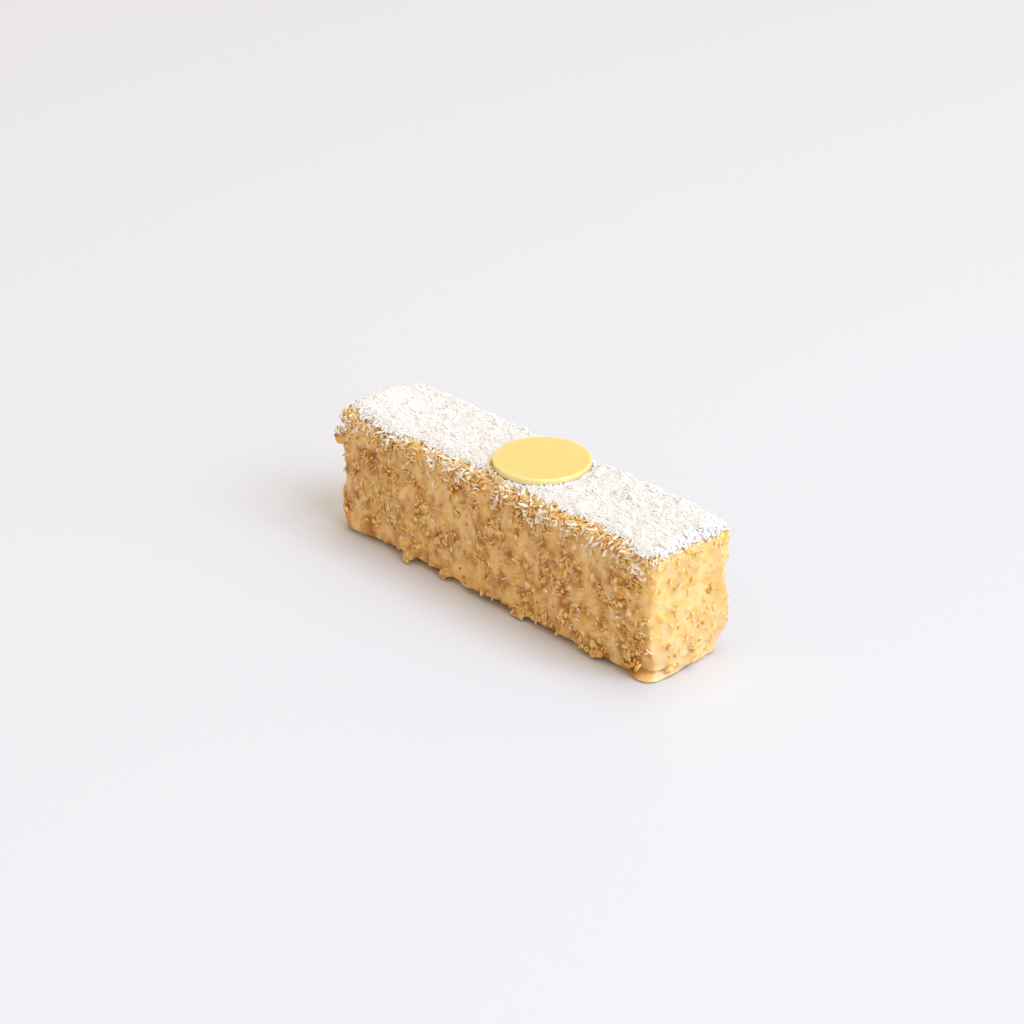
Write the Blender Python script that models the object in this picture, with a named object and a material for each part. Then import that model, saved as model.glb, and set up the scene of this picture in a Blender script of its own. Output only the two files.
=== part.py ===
"""A single-portion coconut cake: a bar glazed all round, with desiccated coconut and a disc on top.

Metres, +Z up. The origin is on the surface that the bar stands on, under the middle of the bar.
+X runs along the bar and +Y across it.
"""

import math
import random

import bmesh
import bpy
from mathutils import Matrix, Vector, noise

# The bar under its glaze-and-flake coat
BAR_LENGTH = 0.1262
BAR_WIDTH = 0.0288
COAT_TOP = 0.0358
TOP_RADIUS = 0.0022
FOOT_RADIUS = 0.0024
COAT_CELL = 0.0030
EDGE_CELLS = 2

# How far the coat wanders from a true block
WAVE_HEIGHT = 0.00070
WAVE_SIZE = 0.0130
CRAG_HEIGHT = 0.00085
CRAG_SIZE = 0.0058
FOOT_WAVE = 0.0010
FAR_CORNER_TUCK = 0.0013
LEFT_CORNER_FLARE = 0.0011
LEFT_TOE = 0.0019
LEFT_TOE_AT = -0.0560
LEFT_TOE_REACH = 0.0070
FLAT_WITHIN = 0.00005

# Glaze that ran down and set round the front right corner
PUDDLE_CENTRE = (0.0567, -0.0072, 0.0004)
PUDDLE_SIZE = (0.0068, 0.0077, 0.0017)
PUDDLE_SQUARENESS = 3.2
FLOOR_CLEARANCE = 0.00015

# Clumps of crumbs: middle, length along the bar, height, and number of crumbs
CLUMPS = (
    ((-0.0335, -0.0150, 0.0034), 0.0070, 0.0028, 6),
    ((-0.0336, -0.0159, 0.0024), 0.0036, 0.0010, 3),
    ((-0.0185, -0.0149, 0.0016), 0.0030, 0.0008, 2),
    ((-0.0030, -0.0144, 0.0022), 0.0090, 0.0018, 4),
    ((0.0125, -0.0146, 0.0016), 0.0050, 0.0010, 2),
    ((0.0412, -0.0147, 0.0017), 0.0062, 0.0010, 4),
    ((-0.0627, -0.0143, 0.0288), 0.0016, 0.0032, 3),
)
CLUMPS_FACE = Vector((0, -1, 0.2))
CRUMB_LENGTH = (0.0030, 0.0044)

# Flakes set in the coat
FLAKES_PER_LONG_SIDE = (11, 4)
FLAKES_PER_END = (3, 3)
FLAKE_LENGTH = (0.0026, 0.0046)
EDGE_SHREDS = 22
EDGE_SHRED_LENGTH = (0.0030, 0.0046)
SHRED_WIDTH = 0.00075

# The layer of desiccated coconut
GAP = 0.0003
COCONUT_TOP = 0.0380
COCONUT_RIM = 0.0009
BACK_SLOPE = 0.0013
FRONT_SLOPE = 0.0030
LEFT_FRONT_SLOPE = 0.0015
COCONUT_CELL = 0.0019
BARE_FRONT = 0.0038
CORNER_PULL = 0.0009
CREST_HEIGHT = 0.0014
CREST_AT = 0.0400
CREST_LENGTH = 0.0360
COCONUT_BUMP = 0.00060
COCONUT_SHREDS = 56
SHRED_LENGTH = (0.0026, 0.0040)

# Where the coconut is heaped or worn away: middle, reach and height
HEAPS = (
    ((-0.0585, -0.0035), 0.0090, 0.0025),
    ((-0.0610, 0.0140), 0.0060, -0.0010),
)

# The disc
DISC_RADIUS = 0.0135
DISC_THICKNESS = 0.0020
DISC_CENTRE = (0.0036, 0.0018)
DISC_UNDERSIDE = 0.0377
DISC_TILT = math.radians(1.2)
DISC_TILT_TOWARDS = math.radians(-41.4)
DISC_BEVEL = 0.0003

HALF = Vector((BAR_LENGTH / 2, BAR_WIDTH / 2, COAT_TOP / 2))


def clear_scene():
    for obj in list(bpy.data.objects):
        bpy.data.objects.remove(obj, do_unlink=True)


def material(name, colour, roughness):
    made = bpy.data.materials.new(name)
    made.use_nodes = True
    shader = made.node_tree.nodes["Principled BSDF"]
    shader.inputs["Base Color"].default_value = (*colour, 1.0)
    shader.inputs["Roughness"].default_value = roughness
    shader.inputs["Metallic"].default_value = 0.0
    return made


def add_object(name, mesh, finish=None):
    if finish:
        mesh.materials.append(finish)
    obj = bpy.data.objects.new(name, mesh)
    bpy.context.scene.collection.objects.link(obj)
    return obj


def mesh_of(name, points, faces):
    mesh = bpy.data.meshes.new(name)
    mesh.from_pydata([tuple(point) for point in points], [], faces)
    mesh.update()
    return mesh


def smooth_step(low, high, value):
    """0 below low, 1 above high and a smooth rise between."""
    share = min(max((value - low) / (high - low), 0.0), 1.0)
    return share * share * (3 - 2 * share)


def mix(first, second, share):
    return first + (second - first) * share


def ripple(point, size, channel=0):
    """Smooth noise from -1 to 1 with bumps of the given size."""
    return noise.noise(Vector(point) / size + Vector((17.3, 5.1, 9.7)) * (channel + 1))


# Shapes of the coat

def block_skin(cells):
    """Corner indices and quads of the skin of a block of cells[0] x cells[1] x cells[2] cells."""
    corners = {}
    quads = []
    for axis in range(3):
        u_axis = (axis + 1) % 3
        v_axis = (axis + 2) % 3
        for side in (0, cells[axis]):
            for i in range(cells[u_axis]):
                for j in range(cells[v_axis]):
                    quad = []
                    for di, dj in ((0, 0), (1, 0), (1, 1), (0, 1)):
                        index = [0, 0, 0]
                        index[axis] = side
                        index[u_axis] = i + di
                        index[v_axis] = j + dj
                        quad.append(corners.setdefault(tuple(index), len(corners)))
                    quads.append(quad if side else quad[::-1])
    return corners, quads


def ruled(step, steps, half):
    """Place of a grid line from -half to half, with EDGE_CELLS narrow cells across each rounded edge."""
    if step < EDGE_CELLS:
        return TOP_RADIUS * step / EDGE_CELLS - half
    if step > steps - EDGE_CELLS:
        return half - TOP_RADIUS * (steps - step) / EDGE_CELLS
    return mix(TOP_RADIUS - half, half - TOP_RADIUS, (step - EDGE_CELLS) / (steps - 2 * EDGE_CELLS))


def foot_radius(x, y):
    """Rounding of the lower edge, which the set glaze makes uneven along the bar."""
    return FOOT_RADIUS + FOOT_WAVE * ripple((x, y, 0), 0.009, channel=3)


def rounded_block(point):
    """Moves a point of the sharp block onto the rounded one, and gives its outward direction."""
    height = (point.z + HALF.z) / COAT_TOP
    radius = mix(foot_radius(point.x, point.y), TOP_RADIUS, smooth_step(0.1, 0.7, height))
    inner = Vector([min(max(point[i], radius - HALF[i]), HALF[i] - radius) for i in range(3)])
    outward = (point - inner).normalized()
    return inner + outward * radius, outward


def relief(place, outward):
    """How far the coat stands out from the block, less towards its flat foot and its coconut-covered top."""
    side = 1 - abs(outward.z)
    below_top = 1 - smooth_step(COAT_TOP - 0.0045, COAT_TOP - 0.0012, place.z)
    above_foot = smooth_step(0.0, 0.0025, place.z)
    waves = WAVE_HEIGHT * ripple(place, WAVE_SIZE)
    crags = CRAG_HEIGHT * ripple(place, CRAG_SIZE, channel=1)
    return (waves + crags) * max(side, 0.25) * below_top * above_foot


def coat_point(point):
    rounded, outward = rounded_block(point)
    place = rounded + Vector((0, 0, HALF.z))
    place += outward * relief(place, outward)
    low = 1 - smooth_step(0.0, 0.010, place.z)
    far_corner = smooth_step(0.048, 0.062, place.x) * smooth_step(0.002, 0.0137, place.y)
    place -= Vector((1, 1, 0)) * FAR_CORNER_TUCK * low * far_corner
    lower_half = 1 - smooth_step(0.006, 0.030, place.z)
    left_corner = smooth_step(0.040, 0.062, -place.x) * smooth_step(0.002, 0.0137, -place.y)
    place -= Vector((1, 1, 0)) * LEFT_CORNER_FLARE * lower_half * (1 - 0.6 * low) * left_corner
    toe = math.exp(-((place.x - LEFT_TOE_AT) / LEFT_TOE_REACH) ** 2) * smooth_step(0.002, 0.0137, -place.y)
    place.y -= LEFT_TOE * low * toe
    # The underside is flat, so what comes this near to the surface lies on it.
    if place.z < FLAT_WITHIN:
        place.z = 0
    return place


def coat_mesh():
    cells = [round(2 * (half - TOP_RADIUS) / COAT_CELL) + 2 * EDGE_CELLS for half in HALF]
    corners, quads = block_skin(cells)
    points = []
    for index in corners:
        sharp = Vector([ruled(index[i], cells[i], HALF[i]) for i in range(3)])
        points.append(coat_point(sharp))
    return mesh_of("coat", points, quads)


# Small pieces that are fused on

def shred(length, width, bend):
    """A strip of three stations with a slight bend, pointed towards one end."""
    points = []
    for along, taper in ((-0.5, 0.7), (0.0, 1.0), (0.5, 0.55)):
        lift = bend * length * (0.25 - along * along)
        for across, up in ((-0.5, -0.5), (0.5, -0.5), (0.5, 0.5), (-0.5, 0.5)):
            points.append(Vector((along * length, across * width * taper, up * width * taper * 0.8 + lift)))
    faces = [(3, 2, 1, 0), (8, 9, 10, 11)]
    for ring in (0, 4):
        for side in range(4):
            after = (side + 1) % 4
            faces.append((ring + side, ring + after, ring + 4 + after, ring + 4 + side))
    return mesh_of("shred", points, faces)


def crumb(draw, length):
    """A rough lump of twenty faces, longer than it is wide."""
    shape = bmesh.new()
    bmesh.ops.create_icosphere(shape, subdivisions=1, radius=0.5)
    for vert in shape.verts:
        vert.co *= draw.uniform(0.82, 1.15)
        vert.co.x *= length
        vert.co.y *= length * 0.62
        vert.co.z *= length * 0.50
    mesh = bpy.data.meshes.new("crumb")
    shape.to_mesh(mesh)
    shape.free()
    return mesh


def placed(mesh, place, outward, turn, tilt):
    """Lays a piece on a surface: flat along it, turned about its normal, then tilted out of it."""
    upright = outward.to_track_quat("Z", "Y").to_matrix().to_4x4()
    mesh.transform(
        Matrix.Translation(place) @ upright @ Matrix.Rotation(turn, 4, "Z") @ Matrix.Rotation(tilt, 4, "Y")
    )
    return add_object(mesh.name, mesh)


def surface_point(sharp):
    """A place on the coat and its outward direction, from a point on the sharp block."""
    place = coat_point(sharp)
    return place, rounded_block(sharp)[1]


def flake(draw, place, outward):
    """A flake or a crumb, most of it proud of the coat."""
    length = draw.uniform(*FLAKE_LENGTH)
    turn = draw.uniform(0, math.pi)
    tilt = draw.uniform(-0.35, 0.35)
    if draw.random() < 0.55:
        return placed(crumb(draw, length * 0.85), place + outward * 0.0003, outward, turn, tilt)
    return placed(shred(length, length * 0.36, 0.25), place + outward * 0.0005, outward, turn, tilt)


def coat_flakes(draw):
    """Flakes spread evenly over the four sides, one in each cell of a grid, moved about in its cell."""
    pieces = []
    sides = (
        (0, FLAKES_PER_END, 1),
        (0, FLAKES_PER_END, -1),
        (1, FLAKES_PER_LONG_SIDE, -1),
        (1, FLAKES_PER_LONG_SIDE, 1),
    )
    highest = COAT_TOP - 0.0074
    lowest = 0.0034
    for axis, (columns, rows), sign in sides:
        reach = HALF[1 - axis] - 0.0024
        for column in range(columns):
            for row in range(rows):
                across = mix(-reach, reach, (column + draw.uniform(0.12, 0.88)) / columns)
                up = mix(lowest, highest, (row + draw.uniform(0.1, 0.9)) / rows)
                sharp = Vector((across, across, up - HALF.z))
                sharp[axis] = sign * HALF[axis]
                pieces.append(flake(draw, *surface_point(sharp)))
    return pieces


def edge_shreds(draw):
    """Shreds that fell from the coconut and stuck along the top of the front."""
    pieces = []
    for count in range(EDGE_SHREDS):
        x = mix(-0.0600, 0.0600, (count + draw.uniform(0.2, 0.8)) / EDGE_SHREDS)
        z = COAT_TOP - draw.uniform(0.0034, 0.0072)
        place, outward = surface_point(Vector((x, -HALF.y, z - HALF.z)))
        mesh = shred(draw.uniform(*EDGE_SHRED_LENGTH), SHRED_WIDTH, 0.2)
        turn = math.pi / 2 + draw.uniform(-1.0, 1.0)
        pieces.append(placed(mesh, place + outward * 0.0002, outward, turn, draw.uniform(-0.2, 0.2)))
    return pieces


def squared(x, y):
    """How much further a rounded square reaches than a circle, towards x, y."""
    angle = math.atan2(y, x)
    reach = abs(math.cos(angle))**PUDDLE_SQUARENESS + abs(math.sin(angle))**PUDDLE_SQUARENESS
    return reach**(-1 / PUDDLE_SQUARENESS)


def puddle():
    """A low pool of set glaze with a rounded, nearly square outline and a flat underside."""
    shape = bmesh.new()
    bmesh.ops.create_icosphere(shape, subdivisions=3, radius=1.0)
    for vert in shape.verts:
        x, y, z = vert.co
        spread = squared(x, y) * (1 + 0.06 * ripple((x, y, 0), 0.5, channel=4))
        vert.co = Vector((x * spread * PUDDLE_SIZE[0], y * spread * PUDDLE_SIZE[1], z * PUDDLE_SIZE[2]))
        vert.co += Vector(PUDDLE_CENTRE)
        vert.co.z = max(vert.co.z, FLOOR_CLEARANCE)
    mesh = bpy.data.meshes.new("puddle")
    shape.to_mesh(mesh)
    shape.free()
    return add_object("puddle", mesh)


def clumps(draw):
    """Crumbs heaped together where the glaze gathered them."""
    pieces = []
    for middle, length, height, number in CLUMPS:
        for count in range(number):
            along = (count + draw.uniform(0.3, 0.7)) / number - 0.5
            place = Vector(middle) + Vector((along * length, draw.uniform(-0.4, 0.6) * 0.0010, 0))
            place.z += draw.uniform(-0.5, 0.5) * height
            lump = crumb(draw, draw.uniform(*CRUMB_LENGTH))
            turn = draw.uniform(0, math.pi)
            piece = placed(lump, place, CLUMPS_FACE, turn, draw.uniform(-0.5, 0.5))
            for vert in piece.data.vertices:
                vert.co.z = max(vert.co.z, FLOOR_CLEARANCE)
            pieces.append(piece)
    return pieces


# Joining

def keep_largest_body(mesh):
    """Drops loose scraps and the skins of sealed hollows."""
    shape = bmesh.new()
    shape.from_mesh(mesh)
    unseen = set(shape.verts)
    bodies = []
    while unseen:
        body = [unseen.pop()]
        for vert in body:
            for edge in vert.link_edges:
                other = edge.other_vert(vert)
                if other in unseen:
                    unseen.discard(other)
                    body.append(other)
        bodies.append(body)
    bodies.sort(key=len)
    for body in bodies[:-1]:
        bmesh.ops.delete(shape, geom=body, context="VERTS")
    bmesh.ops.triangulate(shape, faces=shape.faces)
    shape.to_mesh(mesh)
    shape.free()


def fuse(base, pieces):
    """Joins the pieces to the base with one union, applied, and removes them."""
    group = bpy.data.collections.new(base.name + "_pieces")
    for piece in pieces:
        bpy.context.scene.collection.objects.unlink(piece)
        group.objects.link(piece)
    union = base.modifiers.new("fuse", "BOOLEAN")
    union.operation = "UNION"
    union.operand_type = "COLLECTION"
    union.collection = group
    union.solver = "EXACT"
    bpy.context.view_layer.update()
    joined = bpy.data.meshes.new_from_object(base.evaluated_get(bpy.context.evaluated_depsgraph_get()))
    base.modifiers.clear()
    base.data = joined
    for piece in pieces:
        bpy.data.objects.remove(piece, do_unlink=True)
    bpy.data.collections.remove(group)
    keep_largest_body(joined)


# Shapes of the coconut layer

def coconut_bottom(x, y):
    """Height of the layer's underside, which follows the rounded top edges of the coat at a small gap."""
    over_x = max(abs(x) - (HALF.x - TOP_RADIUS), 0)
    over_y = max(abs(y) - (HALF.y - TOP_RADIUS), 0)
    over = min(math.hypot(over_x, over_y), TOP_RADIUS * 0.93)
    coat = COAT_TOP - TOP_RADIUS + math.sqrt(TOP_RADIUS**2 - over**2)
    return coat + GAP * (1 + over / TOP_RADIUS)


def front_line(x):
    """Y of the coconut's front edge: near the corner at the left end, then set back with small bays."""
    set_back = mix(0.0010, BARE_FRONT, smooth_step(-0.0440, -0.0240, x))
    set_back = mix(set_back, 0.0014, smooth_step(0.0520, 0.0610, x))
    bays = 0.0011 * ripple((x, 0, 0), 0.0065, channel=5) + 0.0005 * ripple((x, 0, 0), 0.0040, channel=11)
    return set_back + bays - HALF.y


def back_line(x):
    return HALF.y - 0.0008 + 0.0006 * ripple((x, 1, 0), 0.0060, channel=6)


def end_line(y, sign):
    return sign * (HALF.x - 0.0011 + 0.0008 * ripple((0, y, sign), 0.0045, channel=7))


def disc_underside(x, y):
    """Height of the disc's tilted underside."""
    towards = (x - DISC_CENTRE[0]) * math.cos(DISC_TILT_TOWARDS)
    towards += (y - DISC_CENTRE[1]) * math.sin(DISC_TILT_TOWARDS)
    return DISC_UNDERSIDE - math.tan(DISC_TILT) * towards


def heaped(x, y):
    """How far the heaps raise the coconut at a place."""
    total = 0.0
    for middle, reach, height in HEAPS:
        total += height * math.exp(-(math.dist((x, y), middle) / reach) ** 2)
    return total


def coconut_height(x, y):
    """Height of the coconut: thin at its front edge, full near its other edges, heaped towards both ends."""
    bumps = COCONUT_BUMP * ripple((x, y, 0), 0.0024, channel=9)
    bumps += COCONUT_BUMP * ripple((x, y, 0), 0.0050, channel=10)
    crest = 0.3 + math.exp(-((x - CREST_AT) / CREST_LENGTH) ** 2)
    crest *= CREST_HEIGHT * smooth_step(front_line(x) + 0.004, back_line(x) - 0.004, y)
    slope = mix(LEFT_FRONT_SLOPE, FRONT_SLOPE, smooth_step(-0.050, -0.034, x))
    front = smooth_step(-0.0004, slope, y - front_line(x))
    other_edges = min(back_line(x) - y, end_line(y, 1) - x, x - end_line(y, -1))
    bottom = coconut_bottom(x, y)
    full = max(COCONUT_TOP + crest + heaped(x, y) + bumps, bottom + COCONUT_RIM)
    height = mix(bottom + COCONUT_RIM, full, front * smooth_step(-0.0004, BACK_SLOPE, other_edges))
    from_disc = math.hypot(x - DISC_CENTRE[0], y - DISC_CENTRE[1]) - DISC_RADIUS
    seat = min(height, disc_underside(x, y) - GAP)
    return max(mix(seat, height, smooth_step(0.0006, 0.0028, from_disc)), bottom + COCONUT_RIM * 0.7)


def coconut_mesh():
    """A thin layer: a top and a bottom grid that share one wavy outline, with a wall between them."""
    columns = round(BAR_LENGTH / COCONUT_CELL)
    rows = round(BAR_WIDTH / COCONUT_CELL)
    tops = []
    bottoms = []
    for i in range(columns + 1):
        for j in range(rows + 1):
            s = i / columns
            t = j / rows
            rough_x = mix(-HALF.x, HALF.x, s)
            y = mix(front_line(rough_x), back_line(rough_x), t)
            x = mix(end_line(y, -1), end_line(y, 1), s)
            corner = smooth_step(0.96, 1.0, abs(2 * s - 1)) * smooth_step(0.8, 1.0, abs(2 * t - 1))
            x -= math.copysign(CORNER_PULL * corner, x)
            y -= math.copysign(CORNER_PULL * corner, y)
            tops.append(Vector((x, y, coconut_height(x, y))))
            bottoms.append(Vector((x, y, coconut_bottom(x, y))))
    count = len(tops)
    faces = []
    for i in range(columns):
        for j in range(rows):
            a = i * (rows + 1) + j
            b = a + rows + 1
            faces.append((a, b, b + 1, a + 1))
            faces.append((count + a + 1, count + b + 1, count + b, count + a))
    rim = [i * (rows + 1) for i in range(columns)]
    rim += [columns * (rows + 1) + j for j in range(rows)]
    rim += [i * (rows + 1) + rows for i in range(columns, 0, -1)]
    rim += list(range(rows, 0, -1))
    for here, after in zip(rim, rim[1:] + rim[:1]):
        faces.append((here, count + here, count + after, after))
    return mesh_of("coconut", tops + bottoms, faces)


def coconut_shreds(draw):
    """Shreds spread over the layer, one in each cell of a grid, clear of the disc."""
    pieces = []
    rows = 4
    columns = COCONUT_SHREDS // rows
    for column in range(columns):
        for row in range(rows):
            x = mix(0.0020 - HALF.x, HALF.x - 0.0020, (column + draw.random()) / columns)
            y = mix(front_line(x) + 0.0012, back_line(x) - 0.0012, (row + draw.random()) / rows)
            length = draw.uniform(*SHRED_LENGTH)
            turn = draw.uniform(0, math.pi)
            tilt = draw.uniform(-0.4, 0.4)
            if math.hypot(x - DISC_CENTRE[0], y - DISC_CENTRE[1]) < DISC_RADIUS + 0.0030:
                continue
            place = Vector((x, y, coconut_height(x, y) + 0.0001))
            pieces.append(placed(shred(length, SHRED_WIDTH, 0.25), place, Vector((0, 0, 1)), turn, tilt))
    return pieces


# The three pieces

def make_cake():
    draw = random.Random(11)
    finish = material("glaze", (0.72, 0.42, 0.16), 0.42)
    cake = add_object("cake", coat_mesh(), finish)
    fuse(cake, [puddle()] + clumps(draw) + coat_flakes(draw) + edge_shreds(draw))


def make_coconut():
    draw = random.Random(23)
    finish = material("desiccated_coconut", (0.93, 0.91, 0.87), 0.65)
    coconut = add_object("coconut", coconut_mesh(), finish)
    fuse(coconut, coconut_shreds(draw))


def make_disc():
    finish = material("yellow_chocolate", (0.98, 0.76, 0.27), 0.35)
    shape = bmesh.new()
    bmesh.ops.create_cone(
        shape,
        cap_ends=True,
        segments=56,
        radius1=DISC_RADIUS,
        radius2=DISC_RADIUS,
        depth=DISC_THICKNESS,
        matrix=Matrix.Translation((0, 0, DISC_THICKNESS / 2)),
    )
    mesh = bpy.data.meshes.new("disc")
    shape.to_mesh(mesh)
    shape.free()
    disc = add_object("disc", mesh, finish)
    tilt_axis = (-math.sin(DISC_TILT_TOWARDS), math.cos(DISC_TILT_TOWARDS), 0)
    tilt = Matrix.Rotation(DISC_TILT, 4, tilt_axis)
    disc.matrix_world = Matrix.Translation((*DISC_CENTRE, DISC_UNDERSIDE)) @ tilt
    edge = disc.modifiers.new("rim", "BEVEL")
    edge.width = DISC_BEVEL
    edge.segments = 1
    edge.limit_method = "ANGLE"
    for face in mesh.polygons:
        face.use_smooth = len(face.vertices) == 4
    mesh.set_sharp_from_angle(angle=math.radians(40))


clear_scene()
make_cake()
make_coconut()
make_disc()
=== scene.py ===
# %% [markdown]
# # A glazed coconut cake bar
# A pastry cook dips a small bar of cake in a caramel-coloured glaze full of toasted crumbs, strews
# desiccated coconut over the top and lays a thin disc of yellow chocolate on it. This lesson
# dresses the bar's three solids, which are loaded first and never moved. Everything is in metres,
# with the bar standing on z = 0, its length along x and its width along y.

# %% Load the solids
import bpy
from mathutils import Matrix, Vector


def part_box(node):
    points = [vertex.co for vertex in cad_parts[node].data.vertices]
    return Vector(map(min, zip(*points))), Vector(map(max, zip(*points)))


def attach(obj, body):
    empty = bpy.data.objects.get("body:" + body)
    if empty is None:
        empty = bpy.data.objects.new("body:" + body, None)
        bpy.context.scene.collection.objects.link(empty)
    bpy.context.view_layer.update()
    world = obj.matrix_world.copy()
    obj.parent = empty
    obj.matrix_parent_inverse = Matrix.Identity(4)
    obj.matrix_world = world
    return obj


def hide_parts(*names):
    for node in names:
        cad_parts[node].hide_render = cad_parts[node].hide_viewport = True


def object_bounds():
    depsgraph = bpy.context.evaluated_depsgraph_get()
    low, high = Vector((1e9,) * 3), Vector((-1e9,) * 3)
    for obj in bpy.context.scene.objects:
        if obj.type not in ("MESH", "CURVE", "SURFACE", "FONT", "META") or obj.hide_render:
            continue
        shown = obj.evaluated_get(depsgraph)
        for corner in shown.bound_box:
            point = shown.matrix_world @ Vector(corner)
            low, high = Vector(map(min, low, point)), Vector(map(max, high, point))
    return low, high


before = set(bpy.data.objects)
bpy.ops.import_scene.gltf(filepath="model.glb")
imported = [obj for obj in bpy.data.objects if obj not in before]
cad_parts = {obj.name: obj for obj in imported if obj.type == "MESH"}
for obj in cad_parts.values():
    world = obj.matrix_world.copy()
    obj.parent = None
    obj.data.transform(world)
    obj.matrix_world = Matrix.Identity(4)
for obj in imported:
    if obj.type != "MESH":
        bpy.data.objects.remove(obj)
cad_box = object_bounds()
print("solids:", sorted(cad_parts))
print("box in mm:", [tuple(round(1000 * c, 1) for c in corner) for corner in cad_box])

# %% [markdown]
# ## Tools for crumbs and shreds
# Thousands of crumbs can't be modelled one by one. They could be particles or instances, but those
# are lost when the cake is exported as meshes, so each kind of crumb becomes one joined mesh. Numpy
# moves all its points at once, which is fast enough for more than ten thousand shreds.

# %% Random draws and smooth noise
import math

import bpy
import numpy as np
from mathutils import Vector, noise

MM = 0.001


def noise_at(points, size, channel=0):
    """Smooth noise from -1 to 1 at each point, with bumps of the given size in metres."""
    shift = Vector((3.7, 8.1, 5.3)) * (channel + 1)
    return np.array([noise.noise(Vector(point) / size + shift) for point in points])


def ramp(low, high, values):
    """0 below low, 1 above high and a smooth rise between, for a whole array."""
    share = np.clip((values - low) / (high - low), 0, 1)
    return share * share * (3 - 2 * share)


def unit(vectors):
    """Each row of an array of vectors, made one long."""
    return vectors / np.linalg.norm(vectors, axis=1)[:, None]


print("a ramp at its quarters:", ramp(0, 1, np.array((0.25, 0.50, 0.75))))

# %% [markdown]
# A mesh keeps its points one by one. Blender's foreach_get copies them all into one numpy array,
# which is far quicker than a loop in Python. A finished mesh becomes a piece of the cake: it gets
# one finish and it rides on the cake's body.

# %% Meshes as arrays
def points_of(mesh):
    points = np.empty(len(mesh.vertices) * 3)
    mesh.vertices.foreach_get("co", points)
    return points.reshape(-1, 3)


def normals_of(mesh):
    normals = np.empty(len(mesh.vertices) * 3)
    mesh.vertex_normals.foreach_get("vector", normals)
    return normals.reshape(-1, 3)


def add_piece(name, mesh, finish, smooth=True):
    """Puts a finished mesh in the scene as a piece that goes with the cake."""
    mesh.materials.clear()
    mesh.materials.append(finish)
    mesh.polygons.foreach_set("use_smooth", [smooth] * len(mesh.polygons))
    piece = bpy.data.objects.new(name, mesh)
    bpy.context.scene.collection.objects.link(piece)
    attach(piece, "root")
    print(name, "triangles:", sum(len(p.vertices) - 2 for p in mesh.polygons))
    return piece


print("points of the cake's solid:", len(points_of(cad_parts["cake"].data)))

# %% [markdown]
# ## The camera
# A long lens about 80 cm away looks down at the bar from the corner where its front meets its
# right end, so the bar stays small in the middle of a wide pale field. A short lens close by would
# fill the picture as well, but it would make the near corner look far too big.

# %% Place the camera
CAMERA_TARGET = Vector((-37.8, 27.4, 0.0)) * MM
CAMERA_DISTANCE = 790.7 * MM
CAMERA_AZIMUTH = math.radians(48.6)
CAMERA_ELEVATION = math.radians(25.94)
FOCAL_PIXELS = 2700
FRAME_PIXELS = 1024
SENSOR_WIDTH = 36

camera = bpy.data.objects.new("camera", bpy.data.cameras.new("camera"))
bpy.context.scene.collection.objects.link(camera)
camera.data.sensor_width = SENSOR_WIDTH
camera.data.lens = SENSOR_WIDTH * FOCAL_PIXELS / FRAME_PIXELS
towards_camera = Vector((
    math.sin(CAMERA_AZIMUTH) * math.cos(CAMERA_ELEVATION),
    -math.cos(CAMERA_AZIMUTH) * math.cos(CAMERA_ELEVATION),
    math.sin(CAMERA_ELEVATION),
))
camera.location = CAMERA_TARGET + CAMERA_DISTANCE * towards_camera
camera.rotation_euler = towards_camera.to_track_quat("Z", "Y").to_euler()
bpy.context.scene.camera = camera
print("lens:", round(camera.data.lens, 1), "mm")

# %% [markdown]
# ## Finishes
# Set glaze, toasted crumb, coconut and chocolate are all the same kind of stuff to light: a little
# of it goes in, scatters and comes out again near by. One function makes such a finish. Noise in
# object coordinates picks a tone from a colour ramp, a finer noise shades it and bumps it, and the
# first noise also makes the gloss uneven. Painted image textures could do the same, but they would
# need an unwrapped mesh, and noise fits any shape.

# %% One function for edible finishes
SHADE = (0.88, 1.10)
COAT_ROUGHNESS = 0.3


def noise_texture(finish, place, size, detail):
    """Noise in object coordinates, with patches of the given size in metres."""
    texture = finish.node_tree.nodes.new("ShaderNodeTexNoise")
    texture.inputs["Scale"].default_value = 1 / size
    texture.inputs["Detail"].default_value = detail
    finish.node_tree.links.new(place.outputs["Object"], texture.inputs["Vector"])
    return texture


def spread_over(finish, value, low, high):
    """Spreads a value between 0 and 1 over the range from low to high."""
    node = finish.node_tree.nodes.new("ShaderNodeMapRange")
    node.inputs["To Min"].default_value = low
    node.inputs["To Max"].default_value = high
    finish.node_tree.links.new(value, node.inputs["Value"])
    return node.outputs["Result"]


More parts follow.
